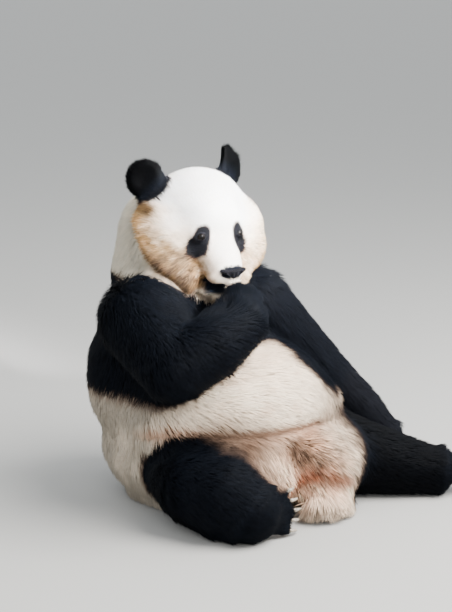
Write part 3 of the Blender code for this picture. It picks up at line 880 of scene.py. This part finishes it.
# Faces of the two sorts of lock, and each corner's place on its patch of the unwrap: a short straight
# spike, and a longer lock that bends over
SPIKE_FACES = [(0, 2, 1), (0, 1, 3), (1, 2, 3), (2, 0, 3)]
SPIKE_PATCH = [(-0.5, -0.4), (0.5, -0.4), (0.0, -0.1), (0.0, 0.5)]
LOCK_FACES = [(0, 2, 1), (0, 3, 2), (0, 1, 3), (1, 2, 4), (2, 3, 4), (3, 1, 4)]
LOCK_PATCH = [(0.0, -0.5), (-0.5, 0.0), (0.5, 0.0), (0.0, 0.2), (0.0, 0.5)]
OFBAKE_PATCH = 0.003
SHORTEST, LENGTH_RANGE = 0.72, 0.46  # the lengths of like locks, as shares of the part's own,
HALF_RANGE = (0.75, 1.2)  # and their half widths
STRAY = 0.16  # how far single locks stray from the lie of the coat
TIP_HEIGHT = (0.70, 1.03)  # how high the tips stand, as a share of the coat's depth
KNEE = 0.42  # where along its length a lock bends over
ROOT_DEPTH = 0.0015  # how far a lock's root lies under the skin
STEEPEST, FLATTEST = 1.25, 0.05  # limits on the angles over the skin of a lock's two lengths
CLUMP = 8  # this many neighbouring locks draw together at their tips
TIP_OVER_FLOOR, KNEE_OVER_FLOOR = 0.0012, 0.0025
ROUNDING = 0.27  # how much of a lock's own shape there is in its shading, over the body's under it
STAINED_ROOT = np.array((0.62, 0.47, 0.34))  # the roots of the loose locks are brown


def sown(part_names, count, draw, dense):
    """Random roots on the hide of these parts: places, normals, lie, weights, depth and unwrap."""
    wanted = np.isin(triangle_owner, [FLESH.index(name) for name in part_names])
    middles = corners[wanted].mean(axis=1)
    chance = triangle_area[wanted] * dense(middles) * (gap_to_bare(middles) > 0)
    picked = np.flatnonzero(wanted)[draw.choice(len(chance), count, p=chance / chance.sum())]
    share = draw.random((count, 2))
    outside = share.sum(axis=1) > 1
    share[outside] = 1 - share[outside]
    share = np.stack([1 - share.sum(axis=1), share[:, 0], share[:, 1]], axis=1)[:, :, None]
    chosen = triangles[picked]
    root = (hide_points[chosen] * share).sum(axis=1)
    normal = unit((hide_normals[chosen] * share).sum(axis=1))
    lie = (hide_lie[chosen] * share).sum(axis=1)
    part = (weights[chosen] * share).sum(axis=1)
    depth = (hide_depth[chosen] * share[:, :, 0]).sum(axis=1)
    return root, normal, lie, part, depth, (unwrap[triangle_loops[picked]] * share).sum(axis=1)


def length_scale(places, weights):
    """Hair is shortest round the nose, eyes and mouth and at the toes, and grows into the ruff."""
    local = in_head(places)
    head = part_weight(weights, "head", "jaw")
    front = smoothstep(-0.02, -0.13, local[:, 1])
    scale = 1 + head * (0.95 * ruff(local) - 0.66 * front)
    scale = scale * (0.45 + 0.55 * smoothstep(0.0, 0.020, gap_to_bare(places)) * head + 0.55 * (1 - head))
    under_nose = head * smoothstep(-0.115, -0.135, local[:, 1]) * smoothstep(-0.090, -0.100, local[:, 2])
    scale = scale * (1 - 0.55 * under_nose)
    return scale * (0.60 + 0.40 * smoothstep(0.020, 0.060, gap_to_claws(places)))


def coarseness(places, weights):
    """1 where the hair stands in loose, parted locks: through the ruff, and round the groin and tail."""
    x, y, z = places.T
    fringe = ruff(in_head(places)) * part_weight(weights, "head", "jaw")
    lap = smoothstep(0.25, 0.20, z) * smoothstep(-0.10, -0.18, y) * smoothstep(-0.16, -0.10, x)
    return np.maximum(fringe, np.maximum(lap * part_weight(weights, "belly"), part_weight(weights, "tail")))


def lock_mesh(name, spots, faces, patch, place_on_unwrap):
    """One mesh of many locks, each with these faces and its own small patch of the hide's unwrap."""
    count, per_lock = spots.shape[:2]
    all_faces = (np.array(faces)[None] + (np.arange(count) * per_lock)[:, None, None]).reshape(-1, 3)
    mesh = bpy.data.meshes.new(name)
    mesh.vertices.add(count * per_lock)
    mesh.vertices.foreach_set("co", spots.astype(np.float32).ravel())
    mesh.loops.add(len(all_faces) * 3)
    mesh.loops.foreach_set("vertex_index", all_faces.astype(np.int32).ravel())
    mesh.polygons.add(len(all_faces))
    mesh.polygons.foreach_set("loop_start", np.arange(0, len(all_faces) * 3, 3, dtype=np.int32))
    mesh.update(calc_edges=True)
    spread = place_on_unwrap[:, None, :] + np.array(patch)[None] * OFBAKE_PATCH
    layer = mesh.uv_layers.new(name="OFBake")
    layer.data.foreach_set("uv", spread.reshape(-1, 2)[all_faces.ravel()].astype(np.float32).ravel())
    piece = bpy.data.objects.new(name, mesh)
    bpy.context.collection.objects.link(piece)
    return piece


def coat_piece(name, part_names, count, seed, dense, bent):
    """One piece of coat: this many locks on these parts, as one mesh of thin closed tapered solids."""
    draw = np.random.default_rng(seed)
    root, normal, lie, part, depth, place_on_unwrap = sown(part_names, count, draw, dense)
    scale = length_scale(root, part)
    length = (part @ by_part(LOCK_LENGTH)) * scale * (SHORTEST + LENGTH_RANGE * draw.beta(2.0, 2.4, count))
    half = (part @ by_part(LOCK_HALF)) * (0.50 + 0.50 * scale.clip(0, 1.2)) * draw.uniform(*HALF_RANGE, count)
    lie = along_skin(unit(lie + STRAY * draw.normal(size=(count, 3))), normal)

    # The lock leaves the skin at an angle that lets its tip reach the depth of the coat, and bends over
    rise = np.arcsin(np.clip(depth * draw.uniform(*TIP_HEIGHT, count) / length, 0.08, 0.80))

    def onwards(place, angle, run):
        return place + (lie * np.cos(angle)[:, None] + normal * np.sin(angle)[:, None]) * run[:, None]

    start = root - normal * ROOT_DEPTH
    if bent:
        knee = onwards(start, np.minimum(rise * 1.5, STEEPEST), length * KNEE)
        tip = onwards(knee, np.maximum(rise * 0.60, FLATTEST), length * (1 - KNEE))
    else:
        tip = onwards(start, rise, length)

    # Neighbouring locks draw together at their tips
    leaders = np.arange(0, count, CLUMP)
    tree = tree_of_points(root[leaders])
    leader = leaders[[tree.find(place)[1] for place in root]]
    coarse = coarseness(root, part)
    to_leader = tip[leader] - tip
    pull = ((0.24 + 0.30 * coarse) * smoothstep(0.030, 0.008, length_of(to_leader)))[:, None]
    tip = tip + to_leader * pull
    tip[:, 2] = tip[:, 2].clip(TIP_OVER_FLOOR)

    # A spike has three corners at the root, a lock one at the root and three where it bends
    side = np.cross(normal, lie)
    widest = start
    if bent:
        widest = knee + (knee[leader] - knee) * pull * 0.35
        widest[:, 2] = widest[:, 2].clip(KNEE_OVER_FLOOR)
    spots = [start] if bent else []
    for turn in (0.0, math.tau / 3, math.tau * 2 / 3):
        spots.append(widest + (side * math.cos(turn) + normal * math.sin(turn) * 0.7) * half[:, None])
    spots = np.stack([*spots, tip], axis=1)
    faces, patch = (LOCK_FACES, LOCK_PATCH) if bent else (SPIKE_FACES, SPIKE_PATCH)
    piece = lock_mesh(name, spots, faces, patch, place_on_unwrap)

    # Roots are darker than tips, most of all in the ruff: partly the darker underfur, partly painted shade
    # deep in the coat, and the loose locks have brown roots. No two locks are quite the same
    seen = root + normal * (COAT_SURFACE * depth)[:, None] + lie * (0.45 * length)[:, None]
    base = markings(seen, part)
    dark = smoothstep(0.20, 0.03, base[:, 1])
    tone = 1 + draw.normal(0.0, 1.0, count) * (0.050 + 0.16 * dark + 0.15 * coarse)
    tone = tone + draw.normal(0.0, 1.0, count)[leader] * (0.03 + 0.05 * dark + 0.28 * coarse)
    warm = draw.normal(0.0, 0.018, (count, 1)) * (1 - dark)[:, None] * np.array((1.0, 0.1, -0.9))
    base = (base * (tone[:, None] + warm)).clip(DARKEST, LIGHTEST)
    # Painted shade at the roots, with the brown stain of the loose locks' roots
    low = (0.86 - 0.08 * coarse)[:, None] * (1 + (coarse * (1 - dark))[:, None] * (STAINED_ROOT - 1))
    shade = [low] + [(low + 1) / 2] * 3 if bent else [low] * 3
    shade = np.stack([*shade, np.full((count, 3), 1.05)], axis=1)
    colour_points(piece, (base[:, None, :] * shade).reshape(-1, 3).clip(0, LIGHTEST))

    # The hair takes the light as the body under it does, with its own shape mixed in
    piece.data.shade_smooth()
    soft = unit(points_of(piece, "normal") * ROUNDING + np.repeat(normal, spots.shape[1], axis=0))
    piece.data.normals_split_custom_set_from_vertices(soft)
    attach(piece, "root")
    return piece


fur = Finish("fur", Roughness=0.65, Specular_IOR_Level=0.05)
tint = fur.add("ShaderNodeAttribute", {"attribute_name": "coat"})
fur.feed(fur.shader, Base_Color=tint.outputs["Color"])


def evenly(places):
    return np.ones(len(places))


def muzzle_first(places):
    """Short hair stands closer together, so the face takes more hairs for its area."""
    return 0.25 + 2.0 * smoothstep(0.02, -0.12, in_head(places)[:, 1])


def ruff_first(places):
    local = in_head(places)
    return 0.45 + 1.6 * ruff(local) - 0.35 * smoothstep(-0.06, -0.13, local[:, 1])


# Each piece's name, slot, solids, number of locks, how close they stand, and whether they bend
COAT = [
    ("coat_face", "face_fur", ["head", "jaw"], 46000, muzzle_first, False),
    ("coat_head", "face_fur", ["head", "jaw"], 26000, ruff_first, True),
    ("coat_ears", "black_fur", ["ear_right", "ear_left"], 9000, evenly, True),
    ("coat_neck", "white_fur", ["neck"], 14000, evenly, True),
    ("coat_chest", "black_fur", ["chest"], 17000, evenly, True),
    ("coat_belly_1", "white_fur", ["belly"], 30000, evenly, True),
    ("coat_belly_2", "white_fur", ["belly"], 30000, evenly, True),
    ("coat_tail", "white_fur", ["tail"], 6500, evenly, True),
]
for side in SIDES:
    COAT += [
        (f"coat_arm_{side}", "black_fur", [f"upper_arm_{side}", f"forearm_{side}"], 16000, evenly, True),
        (f"coat_leg_{side}", "black_fur", [f"thigh_{side}", f"shin_{side}"], 13000, evenly, True),
        (f"coat_hand_{side}", "black_fur", [f"hand_{side}"], 7000, evenly, False),
        (f"coat_foot_{side}", "black_fur", [f"foot_{side}"], 8000, evenly, False),
    ]
FIRST_SEED = 100
for seed, (name, slot, part_names, count, dense, bent) in enumerate(COAT, FIRST_SEED):
    fur.on(coat_piece(name, part_names, count, seed, dense, bent))

# --- The eyes -------------------------------------------------------------------------------------
# Glass eyes, so dark a brown that the round black pupil hardly shows. Each is a ball held in its
# socket by the lids of the hide.
RINGS = [(0.34, (0.002, 0.002, 0.002)), (0.38, (0.0045, 0.0028, 0.0020)), (0.62, (0.003, 0.0022, 0.0018)),
         (0.68, (0.006, 0.005, 0.005))]  # pupil, iris and rim, by their distance from the eye's axis
eye_glass = Finish("eye_glass", Roughness=0.10, Specular_IOR_Level=0.11)
place = eye_glass.add("ShaderNodeUVMap", {"uv_map": "iris"})
distance = eye_glass.add("ShaderNodeSeparateXYZ", Vector=place.outputs["UV"])
iris = eye_glass.add("ShaderNodeValToRGB", {"stops": RINGS}, Fac=distance.outputs["X"])
eye_glass.feed(eye_glass.shader, Base_Color=iris.outputs["Color"])
for side in SIDES:
    bpy.ops.object.select_all(action="DESELECT")
    bpy.ops.mesh.primitive_uv_sphere_add(
        segments=40, ring_count=24, radius=EYE_RADIUS, location=eye_balls[side]
    )
    ball = bpy.context.object
    ball.name = f"glass_eye_{side}"
    bpy.ops.object.transform_apply(location=True, rotation=True, scale=True)
    bpy.ops.object.shade_smooth()
    # Across its unwrap goes the distance of each place from the eye's axis, in units of the ball's radius
    outward = unit(points_of(ball) - eye_balls[side])
    from_axis = np.where(outward @ eye_ways[side] > 0, length_of(np.cross(outward, eye_ways[side])), 1)
    spread = np.stack([from_axis, np.full_like(from_axis, 0.5)], axis=1)
    loop_points = read(ball.data.loops, "vertex_index", 1, np.int32)
    layer = ball.data.uv_layers.new(name="iris")
    layer.data.foreach_set("uv", spread[loop_points].astype(np.float32).ravel())
    eye_glass.on(ball)
    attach(ball, "root")
    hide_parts(f"eye_{side}")

# --- The nose -------------------------------------------------------------------------------------
# A bare pad of pebbled black leather, set on the end of the muzzle. It narrows to its foot, with a
# nostril on each side of the groove that runs down its middle, and a wing round each nostril.
NOSE_SIZE = (0.0325, 0.0140, 0.0165)  # half its width, depth and height
NOSE_FOOT = 0.28  # the width at the foot, as a share of that at the top
NOSTRIL_DEPTH = 0.0038
WING_SWELL = 0.0016
GROOVE_IN_NOSE = 0.0022
bpy.ops.object.select_all(action="DESELECT")
bpy.ops.mesh.primitive_uv_sphere_add(segments=96, ring_count=64, radius=1.0)
pad = bpy.context.object
pad.name = "nose_pad"
across, back, up = points_of(pad).T
narrowed = 1 - (1 - NOSE_FOOT) * smoothstep(0.15, -1.0, up)
pad_x = across * narrowed * NOSE_SIZE[0] * (1 + 0.10 * bump_at(up - 0.2, 0.5))
pad_z = up * NOSE_SIZE[2] - 0.0055 * smoothstep(0.25, 1.0, up)
pad_z = pad_z + 0.0032 * smoothstep(0.45, 1.0, np.abs(across))
pad_y = np.sign(back) * np.abs(back) ** 0.8 * NOSE_SIZE[1]
hole = np.zeros(len(across))
for sign in (-1, 1):
    out = across * sign
    away = np.hypot((out - 0.44) / 0.20, (up + 0.10 + 0.5 * (out - 0.44)) / 0.30)
    hole = np.maximum(hole, smoothstep(1.25, 0.55, away))
    pad_y = pad_y - WING_SWELL * bump_at(np.hypot(out - 0.70, up + 0.18), 0.26) * (back < 0)
pad_y = pad_y + NOSTRIL_DEPTH * hole * (back < 0)
pad_y = pad_y + GROOVE_IN_NOSE * bump_at(across, 0.055) * smoothstep(0.35, -0.1, up) * (back < 0)
pad_local = np.stack([pad_x, pad_y, pad_z], axis=1) + in_head(middle("nose")[None])[0]
move_points(pad, head_origin + pad_local @ np.stack([head_x, head_y, head_z]))
bpy.ops.object.shade_smooth()
NOSE_BLACK = (0.0050, 0.0050, 0.0065, 1.0)
nose_leather = Finish("nose_leather", Roughness=0.55, Specular_IOR_Level=0.03, Base_Color=NOSE_BLACK)
place = nose_leather.add("ShaderNodeTexCoord")
pebbles = nose_leather.add("ShaderNodeTexVoronoi", Vector=place.outputs["Object"], Scale=800.0)
relief = nose_leather.add("ShaderNodeBump", Height=pebbles.outputs["Distance"], Strength=0.35, Distance=0.001)
nose_leather.feed(nose_leather.shader, Normal=relief.outputs["Normal"])
nose_leather.on(pad)
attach(pad, "root")
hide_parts("nose")

# --- The claws ------------------------------------------------------------------------------------
# Curved ivory-grey horn with darker streaks, five claws to a hand or foot. Each is rounded from its
# solid and set in the end of a toe.
STREAKS = [(0.3, (0.13, 0.105, 0.08)), (0.7, (0.36, 0.32, 0.26))]
horn = Finish("claw_horn", Roughness=0.36)
place = horn.add("ShaderNodeTexCoord")
streaks = horn.add("ShaderNodeTexNoise", Vector=place.outputs["Object"], Scale=220.0, Detail=4.0)
stain = horn.add("ShaderNodeValToRGB", {"stops": STREAKS}, Fac=streaks.outputs["Fac"])
horn.feed(horn.shader, Base_Color=stain.outputs["Color"])
for name in claw_names:
    claw = copy_of(name, f"horn_{name}")
    pick(claw)
    weld()
    rounded = claw.modifiers.new("rounded", "SUBSURF")
    rounded.levels = rounded.render_levels = 1
    bpy.ops.object.modifier_apply(modifier="rounded")
    bpy.ops.object.shade_smooth()
    horn.on(claw)
    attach(claw, "root")
    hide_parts(name)

# --- The floor, the light and the camera ----------------------------------------------------------
# A plain pale floor under wide soft light, as in a museum's day gallery: most of it from above,
# some from both sides, and a narrow lamp on the face.
bpy.ops.object.select_all(action="DESELECT")
bpy.ops.mesh.primitive_plane_add(size=90, location=(0, 0, 0))
floor = bpy.context.object
floor.name = "floor"
Finish("pale_floor", Roughness=0.8, Base_Color=(0.33, 0.325, 0.31, 1)).on(floor)

world = bpy.data.worlds.new("gallery")
bpy.context.scene.world = world
world.use_nodes = True
daylight = world.node_tree.nodes["Background"]
daylight.inputs["Color"].default_value = (0.92, 0.96, 1.0, 1.0)
daylight.inputs["Strength"].default_value = 1.5


def soft_light(name, place, aim, size, power, colour, spread=180):
    """A round lamp aimed at a place. Its spread is in degrees."""
    light = bpy.data.lights.new(name, "AREA")
    light.shape = "DISK"
    light.size = size
    light.energy = power
    light.color = colour
    light.spread = math.radians(spread)
    lamp = bpy.data.objects.new(name, light)
    bpy.context.collection.objects.link(lamp)
    lamp.location = place
    lamp.rotation_euler = (Vector(aim) - Vector(place)).to_track_quat("-Z", "Y").to_euler()


soft_light("sky_light", (0.3, -2.0, 3.1), (0.05, 0.0, 0.4), 2.8, 500, (1.0, 0.98, 0.95))
soft_light("side_light", (2.6, -2.4, 1.8), (0.05, 0.0, 0.4), 2.0, 110, (0.95, 0.97, 1.0))
soft_light("window_light", (-2.5, -2.6, 1.8), (0.0, 0.0, 0.45), 2.4, 65, (1.0, 0.99, 0.97))
soft_light("face_light", (-0.9, -2.7, 2.1), (-0.03, 0.04, 0.795), 0.5, 6.4, (1.0, 0.99, 0.98), spread=11)

# The camera stands to the animal's front right, a little above its head, and looks slightly down
VIEW_TURN = math.radians(52)
VIEW_DOWN = math.radians(13)
VIEW_DISTANCE = 4.42
AIM_ACROSS, AIM_UP = -0.0234, 0.512
across = Vector((math.cos(VIEW_TURN), -math.sin(VIEW_TURN), 0))
ahead = Vector((math.sin(VIEW_TURN), math.cos(VIEW_TURN), 0))
upwards = ahead * math.sin(VIEW_DOWN) + Vector((0, 0, math.cos(VIEW_DOWN)))
forward = ahead * math.cos(VIEW_DOWN) - Vector((0, 0, math.sin(VIEW_DOWN)))
camera = bpy.data.objects.new("camera", bpy.data.cameras.new("camera"))
bpy.context.collection.objects.link(camera)
camera.data.lens = 100
camera.data.sensor_width = 36
camera.location = across * AIM_ACROSS + upwards * AIM_UP - forward * VIEW_DISTANCE
camera.rotation_euler = forward.to_track_quat("-Z", "Y").to_euler()
bpy.context.scene.camera = camera
